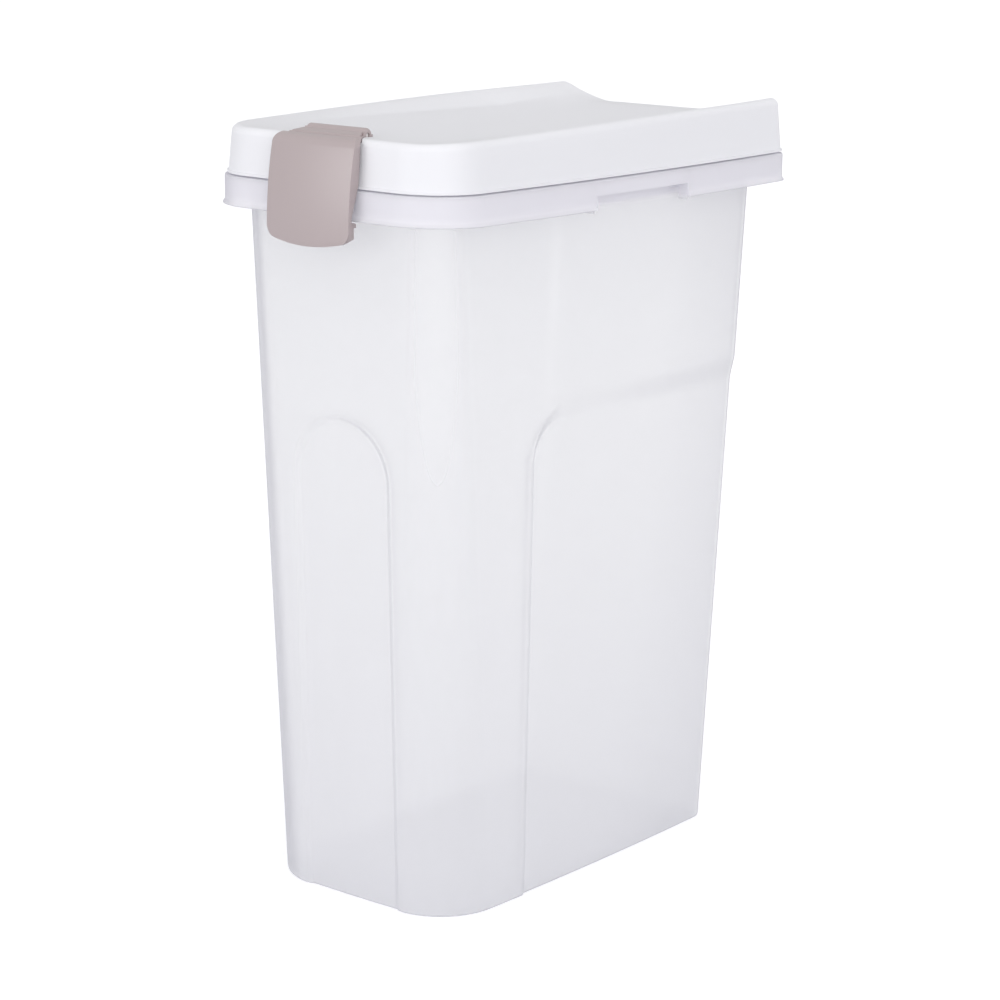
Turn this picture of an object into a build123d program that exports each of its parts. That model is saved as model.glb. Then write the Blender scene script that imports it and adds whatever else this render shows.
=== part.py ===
from build123d import *
import math
import os

# Pet food storage bin: a tall tub with a hinged lid and a front clip.
# Frame: +Z up, the front with the clip faces -Y, the origin is on the floor under the tub.
# Driving dimensions, millimetres.

# Overall
rim_front = -185.0
rim_length = 370.6
rim_width = 213.0
ledge_top = 473.4

# Tub walls
wall = 2.2
floor_thickness = 2.8
front_taper = 31.7
rear_taper = 50.0
side_taper = 21.8
base_front_corner = 45.0
base_rear_corner = 9.5
base_front_bow = 2.5
base_side_bow = 3.0
base_edge_radius = 3.0
inner_edge_radius = 1.5

# Rim of the tub: a ledge, and the skirt that hangs from its edge
ledge_thickness = 2.2
ledge_edge_radius = 1.2
skirt_height = 18.9
skirt_thickness = 1.8
bead_height = 2.6
bead_lip = 0.9
bead_proud = 1.3
rim_front_corner = 40.0
rim_rear_corner = 11.5
rim_front_bow = 1.0
rim_side_bow = 6.2
side_overhang = 16.0
front_overhang = 14.4
rear_overhang = 18.4
body_front_corner = 25.0
body_rear_corner = 9.2
mouth_rise = 6.6

# Lower walls, set in from the corner pillars
recess_depth = 2.2
recess_top = 333.0
recess_slope = 14.0
recess_corner = 40.0
pillar_depth = 77.5
arch_half_width = 40.5
arch_top = 326.0
arch_slope = 35.0

# Hand grips: the skirt's lower part is cut away on both long sides
grip_length = 99.0
grip_set_back = 9.0
grip_band = 9.9
grip_wall = 1.8
grip_wall_height = 13.4
grip_wall_root = 1.6
grip_tab_depth = 7.0
grip_tab_drop = 1.9

# Lid: heights are above its bottom edge
lid_rim_gap = 1.0
lid_wall = 2.2
lid_front_inset = 1.2
lid_side_inset = 1.6
lid_rear_inset = -0.6
lid_corner_inset = 1.2
lid_lip_height = 1.6
lid_lip_proud = 0.8
lid_draft = 5.0
lid_edge_radius = 5.0
panel_front_rise = 30.0
panel_rear_rise = 24.5
crest_front_rise = 30.2
crest_rear_rise = 37.0
slope_foot_front = 23.3
slope_foot_middle = 28.3
slope_foot_rear = 55.3
slope_crest_front = 8.3
slope_crest_middle = 12.3
slope_crest_rear = 15.3
slope_middle_place = 95.6
slope_ease = 12.0

# Seal in the lid
seal_width = 5.0
seal_height = 4.2
seal_gap = 0.3
channel_wall = 1.6
channel_clearance = 0.2
channel_lap = 1.5

# Rear hinge
hinge_spacing = 100.0
hinge_stand_off = 8.0
hinge_rise = 0.6
hinge_radius = 5.5
hinge_pin_radius = 2.0
hinge_pin_head_radius = 3.4
hinge_pin_head_length = 1.4
knuckle_width = 22.0
ear_width = 4.0
side_clearance = 0.4
pin_clearance = 0.05
pin_seat_clearance = 0.01

# Front clip
clip_width = 68.0
clip_below_skirt = 16.9
clip_corner_drop = 4.6
clip_bottom_corner = 8.0
clip_top_corner = 7.0
clip_stand_off = 11.4
clip_fullest_drop = 7.5
clip_face_lean = 6.6
clip_plan_radius = 260.0
clip_thickness = 2.8
clip_edge_radius = 8.0
clip_above_panel = 0.8
clip_neck_length = 14.0
clip_pivot_set_back = 19.5
clip_pivot_rise = 0.7
clip_barrel_width = 49.0
clip_barrel_radius = 4.4
clip_pin_radius = 1.6
clip_pin_recess = 1.5
clip_lid_gap = 0.5
clip_cheek = 2.5
clip_cheek_gap = 1.2
clip_cheek_step_rise = 2.4
clip_cheek_foot_drop = 4.5
clip_lug_spacing = 28.0
clip_lug_width = 5.0
clip_lug_radius = 3.2
clip_lug_leg = 3.6
clip_skin = 1.1
clip_skin_front = 236.0
clip_skin_rear = 48.0
hook_height = 10.5
hook_thickness = 2.4
hook_gap = 0.6
hook_reach = 1.4
hook_slope = 21.0
hook_margin = 2.0
hook_rib = 2.2
hook_rib_spacing = 20.0

# Cutting tools: longer than any part, a little past a face, and well past the lid's edges
far = 600.0
past = 1.0
well_past = 20.0

# Places that follow from the sizes above
rim_half_width = rim_width / 2
rim_rear = rim_front + rim_length
base_half_width = rim_half_width - side_taper
base_front = rim_front + front_taper
base_rear = rim_rear - rear_taper
skirt_bottom = ledge_top - skirt_height
recess_front_edge = base_front + pillar_depth
grip_middle = (rim_front + rim_rear) / 2 + grip_set_back
grip_front = grip_middle - grip_length / 2
grip_rear = grip_middle + grip_length / 2
grip_top = ledge_top - grip_band
grip_wall_bottom = ledge_top - grip_wall_height
grip_tab_bottom = skirt_bottom - grip_tab_drop
lid_bottom = ledge_top + lid_rim_gap
panel_front_height = lid_bottom + panel_front_rise
panel_rear_height = lid_bottom + panel_rear_rise
crest_front_height = lid_bottom + crest_front_rise
crest_rear_height = lid_bottom + crest_rear_rise
slope_middle_y = rim_rear - slope_middle_place
hinge_y = rim_rear + hinge_stand_off
hinge_height = ledge_top + hinge_rise
clip_bottom = skirt_bottom - clip_below_skirt
clip_face_front = rim_front - clip_stand_off
clip_face_height = skirt_bottom - clip_fullest_drop
clip_top = panel_front_height + clip_above_panel
clip_shoulder_y = rim_front + lid_front_inset + lid_lip_proud - clip_lid_gap
clip_neck_y = clip_shoulder_y + clip_neck_length
clip_pivot_y = rim_front + clip_pivot_set_back
clip_pivot_z = panel_front_height + clip_pivot_rise
clip_cheek_step = lid_bottom + clip_cheek_step_rise
clip_cheek_foot = skirt_bottom - clip_cheek_foot_drop


class Footprint:
    """A plan outline that is bowed on its front and sides and has round corners."""

    def __init__(self, half_width, front, rear, front_corner, rear_corner, front_bow, side_bow):
        self.values = (half_width, front, rear, front_corner, rear_corner, front_bow, side_bow)

    def inset(self, amount):
        """The same outline drawn in all round; a negative amount lets it out."""
        half_width, front, rear, front_corner, rear_corner, front_bow, side_bow = self.values
        return Footprint(
            half_width - amount,
            front + amount,
            rear - amount,
            front_corner - amount,
            rear_corner - amount,
            front_bow,
            side_bow,
        )

    def towards(self, other, share):
        """The outline that lies at a share of the way from this one to another."""
        mixed = [a + (b - a) * share for a, b in zip(self.values, other.values)]
        return Footprint(*mixed)

    def face(self, height):
        """The outline as a flat face at a height."""
        half_width, front, rear, front_corner, rear_corner, front_bow, side_bow = self.values
        end = half_width - side_bow
        front_left = (-end, front + front_bow)
        front_right = (end, front + front_bow)
        rear_left = (-end, rear)
        rear_right = (end, rear)
        middle = (front + rear) / 2
        edges = [
            ThreePointArc(front_left, (0, front), front_right),
            ThreePointArc(front_right, (half_width, middle), rear_right),
            Line(rear_right, rear_left),
            ThreePointArc(rear_left, (-half_width, middle), front_left),
        ]
        outline = make_face(edges)
        corners = outline.vertices().sort_by(Axis.Y)
        outline = fillet(corners[:2], front_corner)
        corners = outline.vertices().sort_by(Axis.Y)
        outline = fillet(corners[-2:], rear_corner)
        return Pos(0, 0, height) * outline

    def block(self, low, high):
        """The outline as an upright block between two heights."""
        return extrude(self.face(low), high - low, dir=(0, 0, 1))


def ring(outer, inner, low, high):
    """An upright band between two outlines."""
    return outer.block(low, high) - inner.block(low - past, high + past)


base = Footprint(
    base_half_width,
    base_front,
    base_rear,
    base_front_corner,
    base_rear_corner,
    base_front_bow,
    base_side_bow,
)
rim = Footprint(
    rim_half_width,
    rim_front,
    rim_rear,
    rim_front_corner,
    rim_rear_corner,
    rim_front_bow,
    rim_side_bow,
)
mouth = Footprint(
    rim_half_width - side_overhang,
    rim_front + front_overhang,
    rim_rear - rear_overhang,
    body_front_corner,
    body_rear_corner,
    rim_front_bow,
    rim_side_bow,
)
mouth_top = ledge_top + mouth_rise


# Tub

def tub_section(height, inset):
    """The tub's outline at a height, drawn in by an amount."""
    return base.towards(mouth, height / ledge_top).inset(inset).face(height)


def plain_form(inset, low):
    """The tapered block that the tub would be with no set-in walls."""
    return loft([tub_section(height, inset) for height in (low, recess_top, ledge_top)], ruled=True)


def set_in_form(inset, low):
    """The tapered block whose lower part is set in, with a short slope between."""
    slope_low = recess_top - recess_slope
    sections = [
        tub_section(low, inset + recess_depth),
        tub_section(slope_low, inset + recess_depth),
        tub_section(recess_top, inset),
        tub_section(ledge_top, inset),
    ]
    return loft(sections, ruled=True)


def side_window(grow):
    """Where the sides and the rear are set in: all behind the front pillars, seen from the side."""
    low_left = (recess_front_edge - grow, -far)
    high_left = (recess_front_edge - grow, recess_top)
    outline = make_face(Polyline(low_left, high_left, (far, recess_top), (far, -far), close=True))
    corner = outline.vertices().sort_by_distance((*high_left, 0))[0]
    outline = fillet(corner, recess_corner + grow)
    return extrude(Plane.YZ * outline, far, both=True)


def front_window(inset):
    """Where the front is set in: an arch with sloping sides, square to the leaning front wall."""
    depth = recess_depth + inset
    slope_run = depth * math.tan(math.radians(arch_slope))
    wall_on_slope = inset / math.cos(math.radians(arch_slope))
    half_width = arch_half_width + wall_on_slope - slope_run
    spring = arch_top - arch_half_width
    straight = Pos(0, (spring - far) / 2) * Rectangle(2 * half_width, spring + far)
    arch = straight + Pos(0, spring) * Circle(half_width)
    outward = (0, -ledge_top, rim_front + front_overhang - base_front)
    wall_plane = Plane(origin=(0, base_front + depth, 0), x_dir=(1, 0, 0), z_dir=outward)
    return extrude(wall_plane * arch, 4 * depth, taper=-arch_slope)


def round_floor(form, radius):
    """Round the edge all round a form's floor."""
    floor = form.faces().sort_by(Axis.Z)[0]
    return fillet(floor.edges(), radius)


def tub_form(inset, low, edge_radius):
    """The tub's form, outside with no inset and inside with the wall as inset."""
    plain = round_floor(plain_form(inset, low), edge_radius)
    set_in = round_floor(set_in_form(inset, low), edge_radius)
    windows = side_window(inset) + front_window(inset)
    return plain - (windows - set_in)


def tub_walls():
    """The thin-walled tub up to the ledge, with a rounded edge round the floor."""
    outside = tub_form(0, 0, base_edge_radius)
    inside = tub_form(wall, floor_thickness, inner_edge_radius)
    return outside - inside


def rim_parts():
    """Ledge, hanging skirt with its bead, and the raised mouth that the lid's seal sits on."""
    opening = mouth.inset(wall)
    ledge = ring(rim, opening, ledge_top - ledge_thickness, ledge_top)
    skirt = ring(rim, rim.inset(skirt_thickness), skirt_bottom, ledge_top)
    shell = ledge + skirt
    outer_edges = shell.faces().sort_by(Axis.Z)[-1].outer_wire().edges()
    shell = fillet(outer_edges, ledge_edge_radius)
    lip = rim.inset(-bead_proud)
    flare = loft([lip.face(skirt_bottom + bead_lip), rim.face(skirt_bottom + bead_height)], ruled=True)
    bead = lip.block(skirt_bottom, skirt_bottom + bead_lip) + flare
    bead = bead - rim.inset(skirt_thickness).block(skirt_bottom - past, ledge_top)
    collar = ring(mouth, opening, ledge_top - ledge_thickness, mouth_top)
    return shell + bead + collar


def grip_cut(side):
    """The notch in the skirt for the fingers, on the side at +X or -X."""
    low = skirt_bottom - past
    cut = Box(side_overhang, grip_rear - grip_front, grip_top - low)
    place_x = side * (rim_half_width + bead_proud + past - side_overhang / 2)
    return Pos(place_x, (grip_front + grip_rear) / 2, (grip_top + low) / 2) * cut


def grip_walls(side):
    """The two walls that close the skirt off at the ends of the finger notch."""
    ledge_low = ledge_top - ledge_thickness
    outer = rim_half_width - skirt_thickness / 2
    step = outer - grip_tab_depth
    inner = rim_half_width - side_overhang - grip_wall_root
    outline = Polyline(
        (inner, ledge_low + ledge_thickness / 2),
        (inner, grip_wall_bottom),
        (step, grip_wall_bottom),
        (step, grip_tab_bottom),
        (outer, grip_tab_bottom),
        (outer, ledge_low + ledge_thickness / 2),
        close=True,
    )
    panel = extrude(Plane.XZ * make_face(outline), grip_wall)
    front_wall = Pos(0, grip_front, 0) * panel
    rear_wall = Pos(0, grip_rear + grip_wall, 0) * panel
    walls = front_wall + rear_wall
    if side < 0:
        walls = mirror(walls, Plane.YZ)
    return walls


ear_offset = knuckle_width / 2 + side_clearance + ear_width / 2


def hinge_ear():
    """One ear on the back of the skirt, round its pin, centred on x = 0."""
    low = skirt_bottom + bead_height
    root = rim_rear - skirt_thickness / 2
    web = make_face(
        Polyline(
            (root, low),
            (hinge_y + hinge_radius, hinge_height),
            (hinge_y, hinge_height + hinge_radius),
            (root, ledge_top - ledge_edge_radius),
            close=True,
        )
    )
    outline = web + Pos(hinge_y, hinge_height) * Circle(hinge_radius)
    outline -= Pos(hinge_y, hinge_height) * Circle(hinge_pin_radius + pin_seat_clearance)
    return extrude(Plane.YZ * outline, ear_width / 2, both=True)


def bin_body():
    """The whole tub: walls, rim, finger notches and hinge ears in one moulding."""
    tub = tub_walls() + rim_parts()
    for side in (-1, 1):
        tub -= grip_cut(side)
        tub += grip_walls(side)
    ear = hinge_ear()
    for station in (-hinge_spacing / 2, hinge_spacing / 2):
        for offset in (-ear_offset, ear_offset):
            tub += Pos(station + offset, 0, 0) * ear
    return tub


# Lid

def roof_section(y, foot, crest, drop):
    """The space under the lid's top at one place along it: panel, slopes and side rails.

    The slope's foot and crest are given as distances in from the rim's widest point.
    """
    foot = rim_half_width - foot
    crest = rim_half_width - crest
    share = (y - rim_front) / (rim_rear - rim_front)
    panel = panel_front_height + (panel_rear_height - panel_front_height) * share - drop
    rail = crest_front_height + (crest_rear_height - crest_front_height) * share - drop
    edge = rim_half_width + well_past
    floor = lid_bottom - well_past
    half_top = [
        (edge, rail),
        (crest + slope_ease, rail),
        (crest, rail),
        ((foot + crest) / 2, (panel + rail) / 2),
        (foot, panel),
        (foot - slope_ease, panel),
        (foot / 2, panel),
    ]
    mirrored = [(-x, z) for x, z in half_top]
    top = Spline(*mirrored, (0, panel), *reversed(half_top))
    outline = make_face(
        [
            top,
            Line((edge, rail), (edge, floor)),
            Line((edge, floor), (-edge, floor)),
            Line((-edge, floor), (-edge, rail)),
        ]
    )
    return Plane(origin=(0, y, 0), x_dir=(1, 0, 0), z_dir=(0, -1, 0)) * outline


def roof(drop):
    """All space under the lid's top surface, lowered by an amount, as one lofted block."""
    sections = [
        roof_section(rim_front - well_past, slope_foot_front, slope_crest_front, drop),
        roof_section(slope_middle_y, slope_foot_middle, slope_crest_middle, drop),
        roof_section(rim_rear + well_past, slope_foot_rear, slope_crest_rear, drop),
    ]
    return loft(sections, ruled=True)


lid_lip = Footprint(
    rim_half_width - lid_side_inset,
    rim_front + lid_front_inset,
    rim_rear - lid_rear_inset,
    rim_front_corner - lid_corner_inset,
    rim_rear_corner - lid_corner_inset,
    rim_front_bow,
    rim_side_bow,
)
lid_outline = lid_lip.inset(lid_lip_proud)


def lid_shape(inset, drop, low):
    """The lid's drafted block under its roof, for the outside and for the hollow."""
    high = crest_rear_height + well_past
    draft_inset = (high - lid_bottom) * math.tan(math.radians(lid_draft))
    low_inset = (low - lid_bottom) * math.tan(math.radians(lid_draft))
    sections = [
        lid_outline.inset(inset + low_inset).face(low),
        lid_outline.inset(inset + draft_inset).face(high),
    ]
    return loft(sections, ruled=True) & roof(drop)


def lid_shell():
    """The hollow lid with its rounded top edge and the small lip round its bottom edge."""
    outside = lid_shape(0, 0, lid_bottom)
    top_edges = [edge for edge in outside.edges() if edge.bounding_box().min.Z > mouth_top]
    outside = fillet(top_edges, lid_edge_radius)
    outside += lid_lip.block(lid_bottom, lid_bottom + lid_lip_height)
    hollow = lid_shape(lid_wall, lid_wall, lid_bottom - past)
    return outside - hollow, outside


def seal_channel():
    """Two ribs and a web under the lid's roof that hold the seal over the tub's mouth."""
    side = (seal_width - wall) / 2 + channel_clearance
    outer = mouth.inset(-side)
    inner = mouth.inset(wall + side)
    low = mouth_top - channel_lap
    web_low = mouth_top + seal_gap + seal_height
    high = crest_rear_height
    outer_rib = ring(outer.inset(-channel_wall), outer, low, high)
    inner_rib = ring(inner, inner.inset(channel_wall), low, high)
    web = ring(outer, inner, web_low, web_low + channel_wall)
    return (outer_rib + inner_rib + web) & roof(lid_wall / 2)


def lid_seal():
    """The soft ring that sits in the channel, just above the tub's mouth."""
    side = (seal_width - wall) / 2
    low = mouth_top + seal_gap
    return ring(mouth.inset(-side), mouth.inset(wall + side), low, low + seal_height)


def hinge_knuckle():
    """The lid's half of one hinge station: a barrel and the arm that carries it, at x = 0."""
    root = rim_rear - lid_rear_inset - lid_wall
    arm = make_face(
        Polyline(
            (root, lid_bottom + lid_lip_height),
            (hinge_y - hinge_radius, lid_bottom + lid_lip_height),
            (hinge_y, hinge_height),
            (hinge_y, hinge_height + hinge_radius),
            (root, hinge_height + 3 * hinge_radius),
            close=True,
        )
    )
    outline = arm + Pos(hinge_y, hinge_height) * Circle(hinge_radius)
    outline -= Pos(hinge_y, hinge_height) * Circle(hinge_pin_radius + pin_clearance)
    return extrude(Plane.YZ * outline, knuckle_width / 2, both=True)


def along_x(y, z, radius, length):
    """A round bar along X, centred on x = 0."""
    return Pos(0, y, z) * Rot(0, 90, 0) * Cylinder(radius, length)


def clip_plan(grow):
    """The clip's top seen from above: as wide as its face, then drawn in to the barrel."""
    wide = clip_width / 2 + grow
    narrow = clip_barrel_width / 2 + grow
    right = [
        (wide, -far),
        (wide, clip_shoulder_y),
        (narrow, clip_neck_y),
        (narrow, clip_pivot_y),
    ]
    left = [(-x, y) for x, y in reversed(right)]
    return make_face(Polyline(*right, *left, close=True))


def clip_trough(grow):
    """The space for the clip's top and barrel in the lid, let out by an amount."""
    reach = clip_lid_gap + grow
    low = clip_top - clip_thickness - reach
    pocket = extrude(Pos(0, 0, low) * clip_plan(reach), far)
    return pocket + along_x(
        clip_pivot_y, clip_pivot_z, clip_barrel_radius + reach, clip_barrel_width + 2 * reach
    )


def clip_lug():
    """One lug in the lid's trough that the clip's pin goes through, at x = 0."""
    foot = clip_pivot_z - clip_barrel_radius - clip_lid_gap - lid_wall / 2
    outline = Pos(clip_pivot_y, clip_pivot_z) * Circle(clip_lug_radius)
    outline += Pos(clip_pivot_y, (foot + clip_pivot_z) / 2) * Rectangle(
        clip_lug_leg, clip_pivot_z - foot
    )
    outline -= Pos(clip_pivot_y, clip_pivot_z) * Circle(clip_pin_radius + pin_seat_clearance)
    return extrude(Plane.YZ * outline, clip_lug_width / 2, both=True)


def lid():
    """The whole lid: shell, seal channel, hinge knuckles and the trough with the clip's lugs."""
    shell, outside = lid_shell()
    shell += seal_channel()
    shell += clip_trough(lid_wall) & outside
    shell -= clip_trough(0)
    lug = clip_lug()
    knuckle = hinge_knuckle()
    for side in (-1, 1):
        shell += Pos(side * clip_lug_spacing / 2, 0, 0) * lug
        shell += Pos(side * hinge_spacing / 2, 0, 0) * knuckle
    return shell


def hinge_pin(side):
    """A headed pin through one hinge station; its head is on the outer side."""
    span = 2 * (ear_offset + ear_width / 2)
    station = side * hinge_spacing / 2
    shaft = along_x(hinge_y, hinge_height, hinge_pin_radius, span)
    head = along_x(hinge_y, hinge_height, hinge_pin_head_radius, hinge_pin_head_length)
    head_place = side * (span + hinge_pin_head_length) / 2
    return Pos(station, 0, 0) * (shaft + Pos(head_place, 0, 0) * head)


# Front clip

def clip_curve(inset):
    """The clip's curved outside as a block, drawn in by an amount: bowed in height and in width."""
    axis_y = clip_face_front + clip_plan_radius
    low = 2 * clip_face_height - clip_top
    lean_y = clip_face_front + clip_face_lean + inset
    top = clip_top - inset
    face = ThreePointArc(
        (lean_y, low),
        (clip_face_front + inset, clip_face_height),
        (lean_y, top),
    )
    outline = make_face(
        [
            face,
            Line((lean_y, top), (axis_y, top)),
            Line((axis_y, top), (axis_y, low)),
            Line((axis_y, low), (lean_y, low)),
        ]
    )
    corner = outline.vertices().sort_by_distance((lean_y, top, 0))[0]
    radius = max(clip_edge_radius - inset, clip_edge_radius / 4)
    outline = fillet(corner, radius)
    axis = Axis((0, axis_y, 0), (0, 0, 1))
    half_angle = math.degrees(math.asin(clip_width / clip_plan_radius))
    form = revolve(Plane.YZ * outline, axis, 2 * half_angle)
    return form.rotate(axis, -half_angle)


def clip_front_outline():
    """The clip seen from the front, as a block through it: round corners and a bowed bottom edge."""
    half = clip_width / 2
    top = clip_top + past
    outline = make_face(
        [
            Line((-half, clip_bottom + clip_corner_drop), (-half, top)),
            Line((-half, top), (half, top)),
            Line((half, top), (half, clip_bottom + clip_corner_drop)),
            ThreePointArc(
                (half, clip_bottom + clip_corner_drop),
                (0, clip_bottom),
                (-half, clip_bottom + clip_corner_drop),
            ),
        ]
    )
    low_corners = outline.vertices().sort_by(Axis.Y)[:2]
    outline = fillet(low_corners, clip_bottom_corner)
    top_corners = outline.vertices().sort_by(Axis.Y)[-2:]
    outline = fillet(top_corners, clip_top_corner)
    return extrude(Plane.XZ * outline, far, both=True)


def clip_hook():
    """The ledge that catches under the skirt's bead, with its ribs, seen from the side and drawn out."""
    plate_y = clip_face_front + clip_thickness / 2
    bead_y = rim_front - bead_proud - hook_gap
    tip_y = rim_front - bead_proud + hook_reach
    top = skirt_bottom - hook_gap
    tip_top = top - (tip_y - bead_y) * math.tan(math.radians(hook_slope))
    half = clip_width / 2 - hook_margin
    ledge = make_face(
        Polyline(
            (plate_y, top),
            (bead_y, top),
            (tip_y, tip_top),
            (tip_y, tip_top - hook_thickness),
            (plate_y, tip_top - hook_thickness),
            close=True,
        )
    )
    hook = extrude(Plane.YZ * ledge, half, both=True)
    rib_face = make_face(
        Polyline(
            (plate_y, top),
            (bead_y, top),
            (bead_y, skirt_bottom - hook_height),
            (plate_y, skirt_bottom - hook_height - hook_thickness),
            close=True,
        )
    )
    rib = extrude(Plane.YZ * rib_face, hook_rib / 2, both=True)
    end = half - hook_rib / 2
    for x in (-end, -hook_rib_spacing / 2, hook_rib_spacing / 2, end):
        hook += Pos(x, 0, 0) * rib
    return hook & clip_curve(clip_thickness / 2)


def lug_gap():
    """The space in the clip's barrel that one of the lid's lugs turns in, at x = 0."""
    reach = 2 * clip_barrel_radius
    corners = [(0, 0)]
    steps = 4
    for step in range(steps + 1):
        angle = clip_skin_front + (360 + clip_skin_rear - clip_skin_front) * step / steps
        corners.append((reach * math.cos(math.radians(angle)), reach * math.sin(math.radians(angle))))
    wedge = make_face(Polyline(*corners, close=True))
    outline = Circle(clip_barrel_radius - clip_skin) + wedge
    gap = extrude(Plane.YZ * outline, clip_lug_width / 2 + side_clearance, both=True)
    return Pos(0, clip_pivot_y, clip_pivot_z) * gap


def clip_cheek_block():
    """The space behind the clip's face that its side walls fill, seen from the side."""
    lid_face = rim_front + lid_front_inset - clip_cheek_gap
    high = clip_top - clip_thickness / 2
    lean = (high - clip_cheek_step) * math.tan(math.radians(lid_draft))
    outline = make_face(
        Polyline(
            (lid_face + lean, high),
            (lid_face, clip_cheek_step),
            (clip_face_front + clip_thickness, clip_cheek_foot),
            (-far, clip_cheek_foot),
            (-far, high),
            close=True,
        )
    )
    return extrude(Plane.YZ * outline, clip_width, both=True)


def front_clip():
    """The whole clip: curved plate, flange, barrel, side cheeks and hook in one moulding."""
    outside = clip_curve(0) & clip_front_outline() & extrude(clip_plan(0), far)
    plate = outside - clip_curve(clip_thickness)
    between = Box(clip_width - 2 * clip_cheek, 2 * far, 2 * far)
    cheeks = (clip_cheek_block() & outside) - between
    barrel = along_x(clip_pivot_y, clip_pivot_z, clip_barrel_radius, clip_barrel_width)
    clip = plate + cheeks + clip_hook() + barrel
    bore_length = clip_barrel_width + 2 * past
    clip -= along_x(clip_pivot_y, clip_pivot_z, clip_pin_radius + pin_clearance, bore_length)
    for side in (-1, 1):
        clip -= Pos(side * clip_lug_spacing / 2, 0, 0) * lug_gap()
    return clip


def clip_pin():
    """The plain pin that the clip swings on, held by the lid's lugs."""
    return along_x(clip_pivot_y, clip_pivot_z, clip_pin_radius, clip_barrel_width - 2 * clip_pin_recess)


nodes = {
    "bin_body": bin_body,
    "lid": lid,
    "lid_seal": lid_seal,
    "front_clip": front_clip,
    "clip_pin": clip_pin,
    "hinge_pin_left": lambda: hinge_pin(-1),
    "hinge_pin_right": lambda: hinge_pin(1),
}

os.makedirs("parts", exist_ok=True)
for name, make in nodes.items():
    export_step(make(), f"parts/{name}.step")
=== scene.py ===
# %% [markdown]
# # A pet food storage bin
#
# The bin is a tall tub of milky plastic with a white lid that swings up on two hinge pins at the
# back, and a taupe clip that swings up at the front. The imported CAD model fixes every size, place
# and joint. This file gives the bin its looks: camera, light, finishes and finely rounded shapes.

# %% Load the fixed frame
import math

import bpy
from mathutils import Matrix, Vector


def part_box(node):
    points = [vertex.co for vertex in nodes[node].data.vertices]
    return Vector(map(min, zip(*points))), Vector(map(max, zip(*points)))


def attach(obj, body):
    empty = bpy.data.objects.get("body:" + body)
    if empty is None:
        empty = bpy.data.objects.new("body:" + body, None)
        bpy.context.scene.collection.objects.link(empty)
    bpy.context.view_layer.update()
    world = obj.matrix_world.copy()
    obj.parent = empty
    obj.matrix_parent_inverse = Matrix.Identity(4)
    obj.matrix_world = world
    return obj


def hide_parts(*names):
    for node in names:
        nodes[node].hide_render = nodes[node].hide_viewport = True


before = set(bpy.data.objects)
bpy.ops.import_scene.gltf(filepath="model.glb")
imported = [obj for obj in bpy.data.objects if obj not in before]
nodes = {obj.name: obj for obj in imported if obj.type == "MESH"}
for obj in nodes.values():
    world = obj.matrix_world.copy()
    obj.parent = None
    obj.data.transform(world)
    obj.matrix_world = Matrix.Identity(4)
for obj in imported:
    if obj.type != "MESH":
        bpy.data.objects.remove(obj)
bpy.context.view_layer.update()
mm = 0.001

# %% [markdown]
# ## The camera
#
# The bin was photographed with a long lens from the front right, a little above it, so its upright
# edges run nearly parallel. A camera could be turned by three angles. Here it looks at a point, as a
# photographer aims it, and is then rolled by the fraction of a degree that the picture leans.

# %% Aim the camera
camera_place = Vector((1.1998, -1.4889, 0.6904))
camera_target = Vector((-0.0002, -0.0021, 0.2437))
camera_lens = 103.8
camera_roll = math.radians(0.70)
sensor_width = 36.0

camera_data = bpy.data.cameras.new("camera")
camera_data.lens = camera_lens
camera_data.sensor_width = sensor_width
camera = bpy.data.objects.new("camera", camera_data)
bpy.context.scene.collection.objects.link(camera)
aim = (camera_target - camera_place).to_track_quat("-Z", "Y").to_matrix()
roll = Matrix.Rotation(camera_roll, 3, "Z")
camera.matrix_world = Matrix.Translation(camera_place) @ (aim @ roll).to_4x4()
bpy.context.scene.camera = camera
print("camera is", round((camera_target - camera_place).length, 3), "m from the bin")

# %% [markdown]
# ## Helpers for materials
#
# A paint maker gives colours as sRGB hex values, but a renderer adds up light in linear values, so
# one function turns one into the other. A second adds a node with its settings and links. A Mix node
# has its sockets for numbers, vectors and colours side by side under the same names, so the sockets
# for colours are told apart by their index.

# %% Colour and node helpers
mix_share, mix_first, mix_second, mix_result = 0, 6, 7, 2


def linear(hex_colour):
    """The linear RGBA value of an sRGB hex colour such as "C0B3B2"."""
    parts = [int(hex_colour[i:i + 2], 16) / 255 for i in (0, 2, 4)]
    turned = [c / 12.92 if c <= 0.04045 else ((c + 0.055) / 1.055) ** 2.4 for c in parts]
    return (*turned, 1.0)


def add_node(material, kind, values=None, links=None, **options):
    """Adds a node: its options, the values of its sockets, and the outputs linked into them."""
    node = material.node_tree.nodes.new(kind)
    for name, value in options.items():
        setattr(node, name, value)
    for name, value in (values or {}).items():
        node.inputs[name].default_value = value
    for name, output in (links or {}).items():
        material.node_tree.links.new(output, node.inputs[name])
    return node


def new_material(name):
    """An empty node material."""
    material = bpy.data.materials.new(name)
    material.use_nodes = True
    material.node_tree.nodes.clear()
    return material


print("white is", linear("FFFFFF"))

# %% [markdown]
# ## The studio
#
# The picture was taken in a white light tent: light comes from all sides, a little more of it from
# the camera's side than from above. A paper roll bent up behind the bin would do, but a flat pale floor
# and a bright world light the bin evenly from every side, and the floor keeps its soft shadow. What the
# camera sees past it is plain white, which costs the bin no extra light.

# %% Floor
floor_size = 24.0
floor_glow = 0.5


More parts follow.
